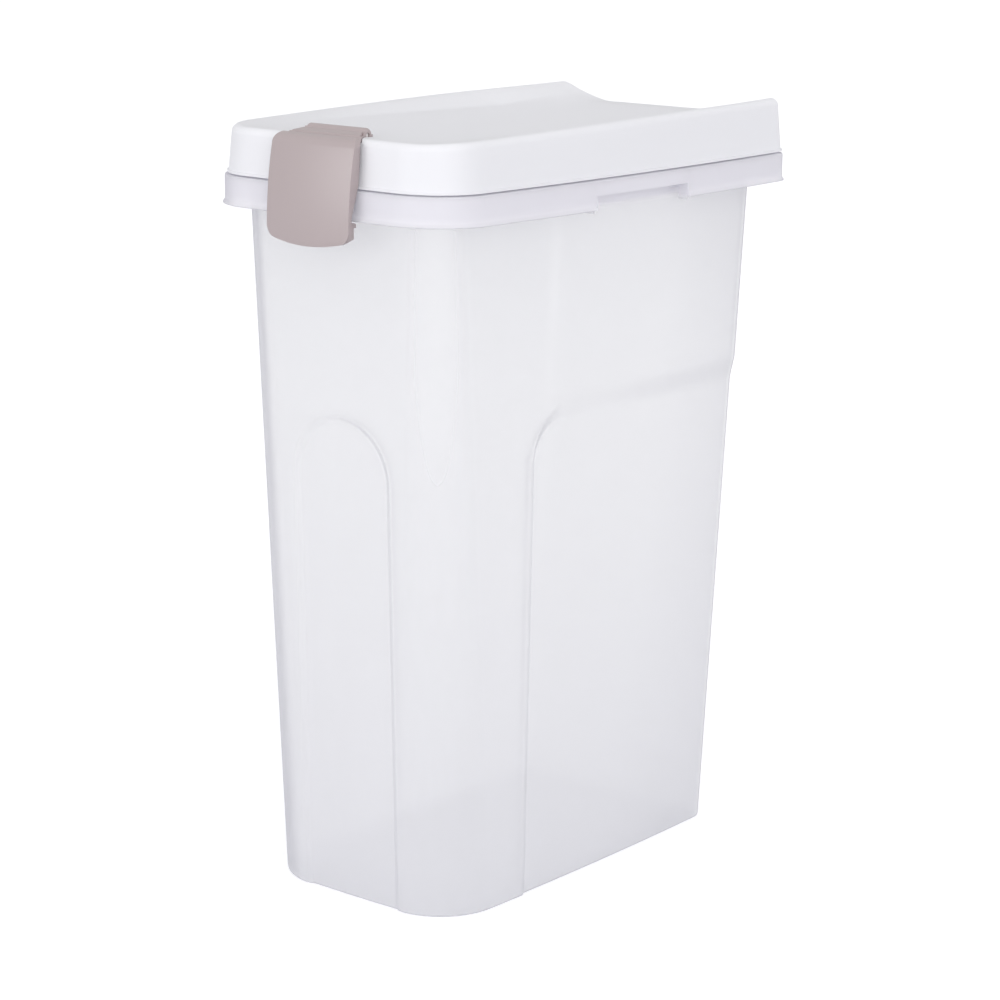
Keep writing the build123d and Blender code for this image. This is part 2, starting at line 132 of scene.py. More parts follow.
def seen_white(material, plain, glow):
    """Adds a white glow to a shader, seen by the camera, in reflections and through clear surfaces."""
    path = add_node(material, "ShaderNodeLightPath")
    seen = path.outputs["Is Camera Ray"]
    for ray in ("Is Glossy Ray", "Is Transmission Ray"):
        seen = add_node(
            material, "ShaderNodeMath", links={0: seen, 1: path.outputs[ray]}, operation="MAXIMUM"
        ).outputs[0]
    strength = add_node(material, "ShaderNodeMath", {1: glow}, {0: seen}, operation="MULTIPLY")
    white = add_node(
        material, "ShaderNodeEmission", {"Color": linear("FFFFFF")}, {"Strength": strength.outputs[0]}
    )
    both = add_node(material, "ShaderNodeAddShader", links={0: plain, 1: white.outputs[0]})
    add_node(material, "ShaderNodeOutputMaterial", links={"Surface": both.outputs[0]})


floor_paint = new_material("studio_floor_matt_paint")
matt = add_node(floor_paint, "ShaderNodeBsdfDiffuse", {"Color": linear("D2D2D6")})
seen_white(floor_paint, matt.outputs[0], floor_glow)

bpy.ops.object.select_all(action="DESELECT")
bpy.ops.mesh.primitive_plane_add(size=floor_size, location=(0, 0, 0))
floor = bpy.context.object
floor.name = "studio_floor"
floor.data.materials.append(floor_paint)
print("the floor is", floor_size, "m wide")

# %% The tent's light, brighter on the camera's side and dimmer overhead
tent_dimmest, tent_brightest = 0.62, 1.14
bright_side = Vector((0.62, -0.75, -0.22)).normalized()

world = bpy.data.worlds.new("light_tent")
bpy.context.scene.world = world
world.use_nodes = True
world.node_tree.nodes.clear()
direction = add_node(world, "ShaderNodeTexCoord")
towards = add_node(
    world, "ShaderNodeVectorMath", {1: bright_side}, {0: direction.outputs["Generated"]},
    operation="DOT_PRODUCT",
)
tent_light = add_node(
    world, "ShaderNodeMapRange",
    {"From Min": -1.0, "From Max": 1.0, "To Min": tent_dimmest, "To Max": tent_brightest},
    {"Value": towards.outputs["Value"]},
)
ray = add_node(world, "ShaderNodeLightPath")
seen = add_node(
    world, "ShaderNodeMath",
    links={0: ray.outputs["Is Camera Ray"], 1: ray.outputs["Is Transmission Ray"]}, operation="MAXIMUM",
)
level = add_node(
    world, "ShaderNodeMapRange", {"To Max": 1.0},
    {"Value": seen.outputs[0], "To Min": tent_light.outputs[0]},
)
tent = add_node(
    world, "ShaderNodeBackground", {"Color": linear("FFFFFF")}, {"Strength": level.outputs[0]}
)
add_node(world, "ShaderNodeOutputWorld", links={"Surface": tent.outputs[0]})
bpy.context.scene.view_settings.view_transform = "Standard"
print("the tent's light runs from", tent_dimmest, "to", tent_brightest)

# %% [markdown]
# ## The lamps
#
# Wide soft lamps shape the bin inside the tent. Sun lamps with a very wide disc stand for soft boxes,
# because their light is as strong on the floor beside the bin as it is on the bin, so the floor stays
# evenly white. The key stands right of the camera. The other one has a smaller and brighter disc, and
# stands low to the left, where the bowed face of the clip mirrors it: that gives the clip its shine.

# %% Soft lamps
lamp_distance = 2.0


def soft_lamp(name, azimuth, elevation, strength, spread):
    """A wide soft lamp, so many degrees to the right of the bin's front and up from the floor."""
    lamp_data = bpy.data.lights.new(name, "SUN")
    lamp_data.energy = strength
    lamp_data.angle = math.radians(spread)
    lamp = bpy.data.objects.new(name, lamp_data)
    bpy.context.scene.collection.objects.link(lamp)
    turn, rise = math.radians(azimuth), math.radians(elevation)
    place = Vector((math.sin(turn) * math.cos(rise), -math.cos(turn) * math.cos(rise), math.sin(rise)))
    aim = (-place).to_track_quat("-Z", "Y").to_matrix()
    lamp.matrix_world = Matrix.Translation(lamp_distance * place) @ aim.to_4x4()
    print(name, "strength", strength)


soft_lamp("soft_lamp_key", 55, 14, 0.84, 50)
soft_lamp("soft_lamp_front", -22, 6, 0.58, 28)

# %% [markdown]
# ## Milky polypropylene
#
# The tub is natural polypropylene without pigment, injection moulded in a finely textured mould.
# Light enters the wall, scatters, and leaves on either side, so it looks milky. Real scattering inside
# the wall would need long renders, so three shaders share the light: a surface with a soft gloss,
# one that passes light through to the far side, and one that is clear. The skirt hangs in front of the
# wall, so less light comes through the two of them, and what does is a little cooler.
#
# The mould's real grain is 0.1 to 0.3 mm wide, finer than a pixel of the picture. So here and on the
# other plastics it is drawn 0.5 to 1.6 mm wide, coarse enough to soften the gloss.

# %% Bump of a moulded surface
def moulded_skin(material, grain, depth, wave, wave_depth):
    """Fine grain from the mould and long shallow waves from cooling, all sizes in millimetres."""
    coordinates = add_node(material, "ShaderNodeTexCoord")
    fine = add_node(
        material, "ShaderNodeTexNoise", {"Scale": 1 / (grain * mm), "Detail": 2.0},
        {"Vector": coordinates.outputs["Object"]},
    )
    long = add_node(
        material, "ShaderNodeTexNoise", {"Scale": 1 / (wave * mm), "Detail": 1.0},
        {"Vector": coordinates.outputs["Object"]},
    )
    waves = add_node(
        material, "ShaderNodeBump", {"Strength": 1.0, "Distance": wave_depth * mm},
        {"Height": long.outputs[0]},
    )
    return add_node(
        material, "ShaderNodeBump", {"Strength": 1.0, "Distance": depth * mm},
        {"Height": fine.outputs[0], "Normal": waves.outputs[0]},
    )


# %% The tub's colour, by height, with painted shade towards the foot
tub_low, tub_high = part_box("bin_body")
mouth_top = tub_high.z / mm
# Shares of the tub's height between which the skirt's lower edge lies.
skirt_starts, skirt_full = 0.944, 0.95

milky = new_material("milky_polypropylene_moulded")
skin = moulded_skin(milky, grain=1.6, depth=0.010, wave=70, wave_depth=0.5)
coordinates = add_node(milky, "ShaderNodeTexCoord")
place = add_node(milky, "ShaderNodeSeparateXYZ", links={0: coordinates.outputs["Object"]})
# The height as a share: 0 on the floor, 1 at the mouth.
height = add_node(
    milky, "ShaderNodeMapRange", {"From Max": mouth_top * mm}, {"Value": place.outputs["Z"]}
)
# Painted shade: the wall's colour is a little darker towards the foot, where less light reaches it.
wall_colour_painted_shade = add_node(
    milky, "ShaderNodeMix", {mix_first: linear("F6F6F8"), mix_second: linear("FCFCFD")},
    {mix_share: height.outputs[0]}, data_type="RGBA",
)
at_skirt = add_node(
    milky, "ShaderNodeMapRange", {"From Min": skirt_starts, "From Max": skirt_full},
    {"Value": height.outputs[0]},
)
milky_colour = add_node(
    milky, "ShaderNodeMix", {mix_second: linear("FAF9FD")},
    {mix_share: at_skirt.outputs[0], mix_first: wall_colour_painted_shade.outputs[mix_result]}, data_type="RGBA",
)
print("the skirt's colour starts at", round(skirt_starts * mouth_top, 1), "mm")

# %% The tub's surface, and the light that it passes on
passed_by_wall, passed_by_skirt = 0.64, 0.4

milky_shader = add_node(
    milky, "ShaderNodeBsdfPrincipled", {"Roughness": 0.38, "IOR": 1.49},
    {"Base Color": milky_colour.outputs[mix_result], "Normal": skin.outputs[0]},
)
milky_light = add_node(
    milky, "ShaderNodeBsdfTranslucent",
    links={"Color": milky_colour.outputs[mix_result], "Normal": skin.outputs[0]},
)
passed_on = add_node(
    milky, "ShaderNodeMapRange", {"To Min": passed_by_wall, "To Max": passed_by_skirt},
    {"Value": at_skirt.outputs[0]},
)
milky_body = add_node(
    milky, "ShaderNodeMixShader",
    links={0: passed_on.outputs[0], 1: milky_shader.outputs[0], 2: milky_light.outputs[0]},
)
print("share of light passed on: wall", passed_by_wall, "skirt", passed_by_skirt)

# %% [markdown]
# The wall looks milkier towards the foot and clearer towards the top, and the skirt, which hangs before
# the wall, looks milkiest. It is also clearest where it is seen square on. Light that slants through has
# a longer way in the plastic and comes out dimmer, which draws the soft grey edges of the tub.

# %% How clear the tub is
clear_at_foot, clear_high_up, clear_in_skirt, clear_slanting = 0.44, 0.84, 0.15, 0.28
high_up = 0.75
# Layer Weight's Facing is 0 seen square on and 1 seen edge on.
least_clear_at = 0.85
dims_from, dimmest_at = 0.45, 0.95

slant = add_node(milky, "ShaderNodeLayerWeight", {"Blend": 0.5})
clear_square_on = add_node(milky, "ShaderNodeValToRGB", links={"Fac": height.outputs[0]})
clear_stops = clear_square_on.color_ramp.elements
for stop in (high_up, skirt_starts, skirt_full):
    clear_stops.new(stop)
clear_levels = (clear_at_foot, clear_high_up, clear_high_up, clear_in_skirt, clear_in_skirt)
for stop, clear in zip(clear_stops, clear_levels):
    stop.color = (clear, clear, clear, 1)
clearness = add_node(
    milky, "ShaderNodeMapRange", {"From Max": least_clear_at, "To Max": clear_slanting},
    {"Value": slant.outputs["Facing"], "To Min": clear_square_on.outputs[0]},
)
slanting = add_node(
    milky, "ShaderNodeMapRange", {"From Min": dims_from, "From Max": dimmest_at},
    {"Value": slant.outputs["Facing"]},
)
absorbed = add_node(
    milky, "ShaderNodeMix", {mix_first: linear("FFFFFF"), mix_second: linear("8C8B9C")},
    {mix_share: slanting.outputs[0]}, data_type="RGBA",
)
milky_clear = add_node(
    milky, "ShaderNodeBsdfTransparent", links={"Color": absorbed.outputs[mix_result]}
)
milky_wall = add_node(
    milky, "ShaderNodeMixShader",
    links={0: clearness.outputs[0], 1: milky_body.outputs[0], 2: milky_clear.outputs[0]},
)
add_node(milky, "ShaderNodeOutputMaterial", links={"Surface": milky_wall.outputs[0]})
print("clear share at", [(round(stop.position, 3), round(stop.color[0], 2)) for stop in clear_stops])

# %% [markdown]
# ## White and taupe polypropylene
#
# The lid is the same plastic with a white pigment, so only a little light gets through it, and it has
# a satin gloss. The clip has a taupe pigment that stops all light, and its mould was polished, so a
# lamp shows on it as a wide soft shine. Both have the faint waves that a cooling moulding shows. One
# Principled shader would do for either, but thin white plastic glows a little where light is behind
# it, so the lid mixes in a translucent one.

# %% Material of the lid
through_lid = 0.2
white_plastic = new_material("white_polypropylene_moulded")
skin = moulded_skin(white_plastic, grain=0.9, depth=0.012, wave=60, wave_depth=0.3)
white_shader = add_node(
    white_plastic, "ShaderNodeBsdfPrincipled",
    {"Base Color": linear("F8F8FC"), "Roughness": 0.42, "IOR": 1.49}, {"Normal": skin.outputs[0]},
)
white_light = add_node(
    white_plastic, "ShaderNodeBsdfTranslucent", {"Color": linear("F8F8F9")}, {"Normal": skin.outputs[0]}
)
white_wall = add_node(
    white_plastic, "ShaderNodeMixShader", {0: through_lid},
    {1: white_shader.outputs[0], 2: white_light.outputs[0]},
)
add_node(white_plastic, "ShaderNodeOutputMaterial", links={"Surface": white_wall.outputs[0]})
print("share of the light that the lid passes on:", through_lid)


# %% Material of the clip
def opaque_plastic(name, colour, roughness, ior, **texture):
    """A moulded or turned plastic that no light gets through."""
    material = new_material(name)
    skin = moulded_skin(material, **texture)
    shader = add_node(
        material, "ShaderNodeBsdfPrincipled",
        {"Base Color": linear(colour), "Roughness": roughness, "IOR": ior}, {"Normal": skin.outputs[0]},
    )
    add_node(material, "ShaderNodeOutputMaterial", links={"Surface": shader.outputs[0]})
    print(name, "has roughness", roughness)
    return material


taupe = opaque_plastic(
    "taupe_polypropylene_moulded", "AC9FA0", 0.33, 1.6,
    grain=0.8, depth=0.012, wave=40, wave_depth=0.1,
)

# %% [markdown]
# ## The tub
#
# The tub is one moulding: leaning walls, a rim that turns out and down into a skirt, and a raised
# mouth. A box could be bevelled into it, but its walls are bowed in plan and set in below, with soft
# slopes. So its section is drawn once, from the outside of the floor over the rim to the inside of
# the floor, and a grid is wrapped round the outline along that section, like a label round a jar.

# %% Sizes of the tub, in millimetres
# The recess is where the sides and the rear are set in, the arch where the front is, and the grips are
# the finger notches in the skirt.
wall = 2.2
floor_thickness = 2.8
ledge_top = mouth_top - 6.6
ledge_low = ledge_top - 2.2
bead_proud = 1.3
rim_front = round(tub_low.y / mm + bead_proud, 1)
rim_rear = rim_front + 370.6
rim_half_width = 106.5
skirt_bottom = ledge_top - 18.9
skirt_thickness = 1.8
recess_depth = 2.2
recess_front = -77.0
recess_top = 335.0
recess_corner = 41.0
recess_edge_slope = 3.0
recess_top_slope = 19.0
arch_half_width = 41.2
arch_top = 327.0
arch_edge_slope = 5.0
grip_front = -40.2
grip_rear = 58.8
grip_top = ledge_top - 9.9
grip_end_lean = 0.4
foot_round = 3.0
floor_round = 1.5
rim_round = 1.2
mouth_round = 0.5
print("the tub's mouth is at", round(mouth_top, 2), "mm, its rim starts at", round(rim_front, 2))

# %% [markdown]
# The outline is bowed on its front and sides and has round corners. Front and sides are arcs of large
# circles, and each corner is a small circle that touches both. Every height has its own outline, with
# the same number of points in the same order, so that the walls run straight from one to the next.

# %% Circles, steps and arcs
def circle_through(a, b, c):
    """Centre and radius of the circle through three points."""
    ax, ay, bx, by = a[0] - c[0], a[1] - c[1], b[0] - c[0], b[1] - c[1]
    turn = 2 * (ax * by - ay * bx)
    x = (by * (ax * ax + ay * ay) - ay * (bx * bx + by * by)) / turn
    y = (ax * (bx * bx + by * by) - bx * (ax * ax + ay * ay)) / turn
    return (c[0] + x, c[1] + y), math.hypot(x, y)


def corner_centre(front_circle, side_circle, radius):
    """Centre of the corner circle that touches the front's circle and the side's from inside."""
    (x1, y1), r1 = front_circle
    (x2, y2), r2 = side_circle
    r1 -= radius
    r2 -= radius
    apart = math.hypot(x2 - x1, y2 - y1)
    along = (r1 * r1 - r2 * r2 + apart * apart) / (2 * apart)
    across = math.sqrt(r1 * r1 - along * along)
    ux, uy = (x2 - x1) / apart, (y2 - y1) / apart
    spots = [(x1 + along * ux + s * across * uy, y1 + along * uy - s * across * ux) for s in (1, -1)]
    return max(spots, key=lambda spot: spot[0] - spot[1])


def steps(start, end, count):
    """Even steps from start up to, but without, end."""
    return [start + (end - start) * k / count for k in range(count)]


def arc(centre, radius, start, end, count):
    """Points with outward directions on an arc between two angles, without the last one."""
    return [
        (centre[0] + radius * math.cos(t), centre[1] + radius * math.sin(t), math.cos(t), math.sin(t))
        for t in steps(start, end, count)
    ]


print("four steps from 0 to 1:", steps(0, 1, 4))

# %% The right half of an outline
front_steps, corner_steps, side_end_steps, rear_corner_steps, rear_steps = 38, 14, 30, 8, 10

# Places along the side, with the number of steps up to each, where a column of points runs straight up.
side_stops = [
    (recess_front, 8),
    (recess_front + recess_edge_slope, 4),
    (grip_front - grip_end_lean, 24),
    (grip_front, 1),
    (grip_rear, 20),
    (grip_rear + grip_end_lean, 1),
]


def half_outline(half_width, front, rear, front_corner, rear_corner, front_bow, side_bow):
    """The right half of an outline, from the middle of the front to the middle of the rear."""
    end = half_width - side_bow
    nose = (end, front + front_bow)
    front_circle = circle_through((-nose[0], nose[1]), (0, front), nose)
    side_circle = circle_through(nose, (half_width, (front + rear) / 2), (end, rear))
    corner = corner_centre(front_circle, side_circle, front_corner)
    (fx, fy), front_radius = front_circle
    (sx, sy), side_radius = side_circle
    front_angle = math.atan2(corner[1] - fy, corner[0] - fx)
    side_angle = math.atan2(corner[1] - sy, corner[0] - sx)
    rear_y = rear - rear_corner
    rear_x = sx + math.sqrt((side_radius - rear_corner) ** 2 - (rear_y - sy) ** 2)
    rear_angle = math.atan2(rear_y - sy, rear_x - sx)
    points = arc((fx, fy), front_radius, -math.pi / 2, front_angle, front_steps)
    points += arc(corner, front_corner, front_angle, side_angle, corner_steps)
    place = sy + side_radius * math.sin(side_angle)
    side_end = sy + side_radius * math.sin(rear_angle)
    for stop, count in (*side_stops, (side_end, side_end_steps)):
        for y in steps(place, stop, count):
            out = (y - sy) / side_radius
            across = math.sqrt(1 - out * out)
            points.append((sx + side_radius * across, y, across, out))
        place = stop
    points += arc((rear_x, rear_y), rear_corner, rear_angle, math.pi / 2, rear_corner_steps)
    points += [(x, rear, 0, 1) for x in steps(rear_x, 0, rear_steps)]
    return points + [(0, rear, 0, 1)]


print("steps along the right side:", sum(count for stop, count in side_stops) + side_end_steps)


# %% The tub's three outlines
def outline(values, inset):
    """A whole outline, drawn in by an amount: the right half, and its mirror image back to the front."""
    half_width, front, rear, front_corner, rear_corner, front_bow, side_bow = values
    right = half_outline(
        half_width - inset, front + inset, rear - inset, front_corner - inset, rear_corner - inset,
        front_bow, side_bow,
    )
    left = [(-x, y, -nx, ny) for x, y, nx, ny in reversed(right)]
    return right + left[1:]


# Half width, front, rear, front and rear corner radius, bow of the front, bow of the sides.
base_outline = (84.7, rim_front + 31.7, rim_rear - 50.0, 45.0, 9.5, 2.5, 3.0)
mouth_outline = (90.5, rim_front + 14.4, rim_rear - 18.4, 25.0, 9.2, 1.0, 6.2)
rim_outline = (rim_half_width, rim_front, rim_rear, 40.0, 11.5, 1.0, 6.2)
print("points round the tub:", len(outline(rim_outline, 0)) - 1)

# %% [markdown]
# Below, the front is set in inside an arch, and the sides and the rear are set in all behind the
# front pillars. Both are measured as a distance from their edge, which a smooth step turns into a
# depth. The edge is steep at the pillars and a long soft slope at the top. On the inside of the wall
# both grow by its thickness, so that the wall is as thick round their edges as elsewhere.

# %% How far the wall is set in
def smooth_step(share):
    """0 below 0, 1 above 1, and an S curve between."""
    share = min(max(share, 0), 1)
    return share * share * (3 - 2 * share)


def arch_set_in(x, z, grow):
    """How far the front wall is set in at a place."""
    half_width = arch_half_width + grow
    spring = arch_top - arch_half_width
    distance = half_width - math.hypot(x, max(z - spring, 0))
    return recess_depth * smooth_step(distance / arch_edge_slope)


def side_set_in(y, z, grow):
    """How far the side and rear walls are set in at a place."""
    radius = recess_corner + grow
    along = recess_front - grow + radius - y
    above = z - (recess_top - radius)
    if along <= 0:
        distance, slope = recess_top - z, recess_top_slope
    elif above <= 0:
        distance, slope = y - (recess_front - grow), recess_edge_slope
    else:
        distance = radius - math.hypot(along, above)
        share = math.atan2(above, along) / (math.pi / 2)
        slope = recess_edge_slope + (recess_top_slope - recess_edge_slope) * smooth_step(share)
    return recess_depth * smooth_step(distance / slope)


print("at mid height the side is set in", side_set_in(0, recess_top / 2, 0), "mm")

# %% [markdown]
# A row is a closed line of points round the tub. Rows of the wall lie level and follow an outline
# between the base's and the mouth's. Rows of the skirt rise over the finger notches, so the notches
# come out of the same grid. Each rounded edge has a few rows on a quarter circle.

# %% One row of points
# A point less than this far behind the outline's front is on the front wall.
front_reach = 60.0


def wall_row(z, inset, grow):
    """One row of points round the tub's wall at a height, drawn in by an amount and set in below."""
    share = z / ledge_top
    mixed = [a + (b - a) * share for a, b in zip(base_outline, mouth_outline)]
    row = []
    for x, y, nx, ny in outline(mixed, inset):
        in_front = y < mixed[1] + front_reach and abs(x) < arch_half_width + 2 * wall
        depth = arch_set_in(x, z, grow) if in_front else side_set_in(y, z, grow)
        row.append((x - nx * depth, y - ny * depth, z))
    return row


def rim_row(values, z, inset):
    """One row of points round the rim or the mouth."""
    return [(x, y, z) for x, y, *_ in outline(values, inset)]


def skirt_row(z, inset):
    """One row round the skirt: it ends higher, and has no bead, where the fingers reach in."""
    row = []
    notch_rise = grip_top - skirt_bottom
    plain = outline(rim_outline, max(inset, 0))
    proud = outline(rim_outline, inset)
    for (x, y, *_), (px, py, *_) in zip(plain, proud):
        if grip_front <= y <= grip_rear and abs(x) > rim_half_width / 2:
            share = (z - skirt_bottom) / (ledge_low - skirt_bottom)
            row.append((x, y, z + notch_rise * (1 - min(share, 1))))
        else:
            row.append((px, py, z))
    return row


def rounding(radius, count):
    """Offsets along a quarter round, from (radius, 0) up to (0, radius), without the last one."""
    turns = [math.pi / 2 * k / count for k in range(count)]
    return [(radius * (1 - math.sin(t)), radius * (1 - math.cos(t))) for t in turns]


print("the notches rise", round(grip_top - skirt_bottom, 2), "mm above the skirt's lower edge")

# %% All rows, from the outside of the floor over the rim to the inside of the floor
foot_end, slopes_start, slopes_end = 45.0, recess_top - 50, recess_top + 2
wall_heights = (
    steps(foot_round, foot_end, 3) + steps(foot_end, slopes_start, 14)
    + steps(slopes_start, slopes_end, 42) + steps(slopes_end, ledge_low, 8)
)
rows = [wall_row(up, inset, 0) for inset, up in rounding(foot_round, 5)]
rows += [wall_row(z, 0, 0) for z in wall_heights]
rows.append(rim_row(mouth_outline, ledge_low, 0))

rows.append(rim_row(rim_outline, ledge_low, skirt_thickness))
rows += [skirt_row(z, skirt_thickness) for z in steps(ledge_low - 2, skirt_bottom, 3)]
rows.append(skirt_row(skirt_bottom, skirt_thickness))
# The bead's section: heights above the skirt's lower edge, and how far it is drawn in there.
for z, inset in ((0, -0.9), (0.3, -bead_proud), (0.9, -bead_proud), (2.6, 0)):
    rows.append(skirt_row(skirt_bottom + z, inset))
rows += [skirt_row(z, 0) for z in steps(skirt_bottom + 6, ledge_low, 2)]

rows += [rim_row(rim_outline, ledge_top - inset, up) for inset, up in rounding(rim_round, 4)]
rows.append(rim_row(rim_outline, ledge_top, rim_round))
rows.append(rim_row(mouth_outline, ledge_top, 0))
rows += [rim_row(mouth_outline, mouth_top - inset, up) for inset, up in rounding(mouth_round, 2)]
rows.append(rim_row(mouth_outline, mouth_top, mouth_round))
rows.append(rim_row(mouth_outline, mouth_top, wall - mouth_round))
rows += [rim_row(mouth_outline, mouth_top - up, wall - inset) for inset, up in rounding(mouth_round, 2)]
rows.append(rim_row(mouth_outline, ledge_top, wall))

rows += [wall_row(z, wall, wall) for z in reversed(wall_heights[1:])]
for inset, up in reversed(rounding(floor_round, 3)):
    rows.append(wall_row(floor_thickness + up, wall + inset, wall))
print("rows along the section:", len(rows))

# %% [markdown]
# The grid has one square for each step round and along the section. Its points are set on the rows,
# its two sides are merged where they meet, and the floor is closed outside and inside.

# %% Wrap a grid round the rows
def wrapped(name, rows):
    """A closed body from rows of points: a grid wrapped round, merged, and filled at both ends."""
    across = len(rows[0]) - 1
    along = len(rows) - 1
    bpy.ops.object.select_all(action="DESELECT")
    bpy.ops.mesh.primitive_grid_add(x_subdivisions=across, y_subdivisions=along, size=1)
    piece = bpy.context.object
    piece.name = name
    for vertex in piece.data.vertices:
        column = round((vertex.co.x + 0.5) * across)
        row = round((vertex.co.y + 0.5) * along)
        vertex.co = Vector(rows[row][column]) * mm
    bpy.ops.object.mode_set(mode="EDIT")
    bpy.ops.mesh.select_all(action="SELECT")
    bpy.ops.mesh.remove_doubles(threshold=0.001 * mm)
    bpy.ops.mesh.select_all(action="DESELECT")
    bpy.ops.mesh.select_non_manifold(extend=False)
    bpy.ops.mesh.fill_holes(sides=0)
    bpy.ops.mesh.select_all(action="SELECT")
    bpy.ops.mesh.normals_make_consistent(inside=False)
    bpy.ops.object.mode_set(mode="OBJECT")
    print(name, "has", len(piece.data.polygons), "faces")
    return piece


tub = wrapped("tub", rows)

# %% [markdown]
# ## Walls at the finger notches, and hinge ears
#
# Where the skirt is cut away for the fingers, a small wall at each end ties it to the tub. The part of
# that wall near the skirt hangs lower. A box is cut across where it gets deeper, and that end of its
# underside is drawn down. All four are joined to the tub as one body, as they are one moulding.

# %% Helpers that select
def only_selected(*pieces):
    """Leaves just these pieces selected, with the first one active."""
    bpy.ops.object.select_all(action="DESELECT")
    for piece in pieces:
        piece.select_set(True)
    bpy.context.view_layer.objects.active = pieces[0]


def select_faces(piece, wanted):
    """In edit mode, selects the faces whose middle and normal pass a test."""
    bpy.ops.mesh.select_all(action="DESELECT")
    bpy.ops.object.mode_set(mode="OBJECT")
    for face in piece.data.polygons:
        face.select = wanted(face.center / mm, face.normal)
    bpy.ops.object.mode_set(mode="EDIT")
    bpy.ops.mesh.select_mode(type="FACE")


# %% Helpers that add and join small parts
def cube(low, high):
    """A box between two corners in millimetres, in edit mode with all selected."""
    bpy.ops.object.select_all(action="DESELECT")
    middle = [(a + b) / 2 * mm for a, b in zip(low, high)]
    bpy.ops.mesh.primitive_cube_add(size=1, location=middle)
    piece = bpy.context.object
    piece.scale = [(b - a) * mm for a, b in zip(low, high)]
    bpy.ops.object.transform_apply(location=True, rotation=True, scale=True)
    bpy.ops.object.mode_set(mode="EDIT")
    return piece


def crosswise_bar(radius, length, middle, sides):
    """Adds a round bar across the bin, with its sizes and middle in millimetres."""
    bpy.ops.mesh.primitive_cylinder_add(
        vertices=sides, radius=radius * mm, depth=length * mm,
        location=[value * mm for value in middle], rotation=(0, math.pi / 2, 0),
    )
    return bpy.context.object


def united(body, pieces, operation="UNION"):
    """Joins pieces to a body, or cuts them out of it, with an exact boolean."""
    only_selected(*pieces)
    if len(pieces) > 1:
        bpy.ops.object.join()
    tool = bpy.context.object
    only_selected(body)
    cut = body.modifiers.new("cut", "BOOLEAN")
    cut.operation = operation
    cut.solver = "EXACT"
    cut.object = tool
    bpy.ops.object.modifier_apply(modifier=cut.name)
    bpy.data.objects.remove(tool)
    print(body.name, "has", len(body.data.polygons), "faces after", operation.lower())


# %% Walls at the ends of the finger notches
notch_wall = 1.8
notch_wall_root = 88.9
notch_wall_tip = rim_half_width - skirt_thickness / 2
notch_wall_top = ledge_low + 1.0
notch_wall_bottom = ledge_top - 13.4
notch_tab_depth = 7.0
notch_tab_bottom = skirt_bottom - 1.9
small_parts = []
for side in (-1, 1):
    for wall_front in (grip_front - notch_wall, grip_rear):
        ends = sorted((side * notch_wall_root, side * notch_wall_tip))
        notch_end = cube(
            (ends[0], wall_front, notch_wall_bottom), (ends[1], wall_front + notch_wall, notch_wall_top)
        )
        step = side * (notch_wall_tip - notch_tab_depth)
        bpy.ops.mesh.bisect(plane_co=(step * mm, 0, 0), plane_no=(1, 0, 0))
        select_faces(notch_end, lambda at, normal: normal.z < -0.9 and abs(at.x) > abs(step))
        bpy.ops.mesh.extrude_region_move(
            TRANSFORM_OT_translate={"value": (0, 0, (notch_tab_bottom - notch_wall_bottom) * mm)}
        )
        bpy.ops.object.mode_set(mode="OBJECT")
        small_parts.append(notch_end)
print("walls at the notches:", len(small_parts))

# %% [markdown]
# Four ears on the back of the skirt carry the hinge pins. Each is round at its pin and runs to the
# skirt in straight flanks: a short cylinder and the corners at its root, wrapped in their convex hull.

# %% Hinge ears
hinge_stations = (-50, 50)
hinge_y = rim_rear + 8.0
hinge_height = ledge_top + 0.6
hinge_radius = 5.5
pin_hole_radius = 2.01
pin_hole_length = 40
ear_width = 4.0
ear_offset = 13.4
ear_root_front, ear_root_rear = rim_rear - skirt_thickness / 2, rim_rear + 0.5
ear_root_low, ear_root_high = skirt_bottom + 2.6, ledge_top - 1.2
for station in hinge_stations:
    for ear_x in (station - ear_offset, station + ear_offset):
        ear = cube(
            (ear_x - ear_width / 2, ear_root_front, ear_root_low),
            (ear_x + ear_width / 2, ear_root_rear, ear_root_high),
        )
        crosswise_bar(hinge_radius, ear_width, (ear_x, hinge_y, hinge_height), 48)
        bpy.ops.mesh.select_all(action="SELECT")
        bpy.ops.mesh.convex_hull()
        bpy.ops.object.mode_set(mode="OBJECT")
        small_parts.append(ear)
united(tub, small_parts)

# %% Holes for the hinge pins
pin_holes = [
    crosswise_bar(pin_hole_radius, pin_hole_length, (station, hinge_y, hinge_height), 32)
    for station in hinge_stations
]
united(tub, pin_holes, "DIFFERENCE")

# %% Finish the tub
tub.data.materials.append(milky)
only_selected(tub)
bpy.ops.object.shade_smooth_by_angle(angle=math.radians(40))
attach(tub, "bin")
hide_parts("bin_body")
print("the tub is", [round(value, 4) for value in tub.dimensions], "m")

# %% [markdown]
# ## The clip
#
# The clip's CAD mesh has its true shape, but edges as sharp as knives, which a moulding never has. It
# could be built again from a box, but a copy of the CAD mesh keeps its barrel and its hook exactly. The
# copy's loose triangles are merged into whole faces. A ramp up to the barrel is joined on: a box whose
# front face is widened, and whose upper rear edge is lifted. A shallow channel is cut before it, as on
# the real one. The barrel's ends are rounded by two blocks less a round-ended bar, and at last every
# sharp edge is rounded by a bevel.

# %% Helpers for a copy with rounded edges
same_point = 0.004
same_plane = math.radians(0.5)


def merged_copy(node, name):
    """A copy of a CAD node as one closed mesh with whole flat faces."""
    piece = nodes[node].copy()
    piece.data = nodes[node].data.copy()
    piece.name = name
    bpy.context.scene.collection.objects.link(piece)
    only_selected(piece)
    bpy.ops.object.mode_set(mode="EDIT")
    bpy.ops.mesh.select_all(action="SELECT")
    bpy.ops.mesh.remove_doubles(threshold=same_point * mm)
    bpy.ops.mesh.dissolve_limited(angle_limit=same_plane)
    bpy.ops.object.mode_set(mode="OBJECT")
    return piece


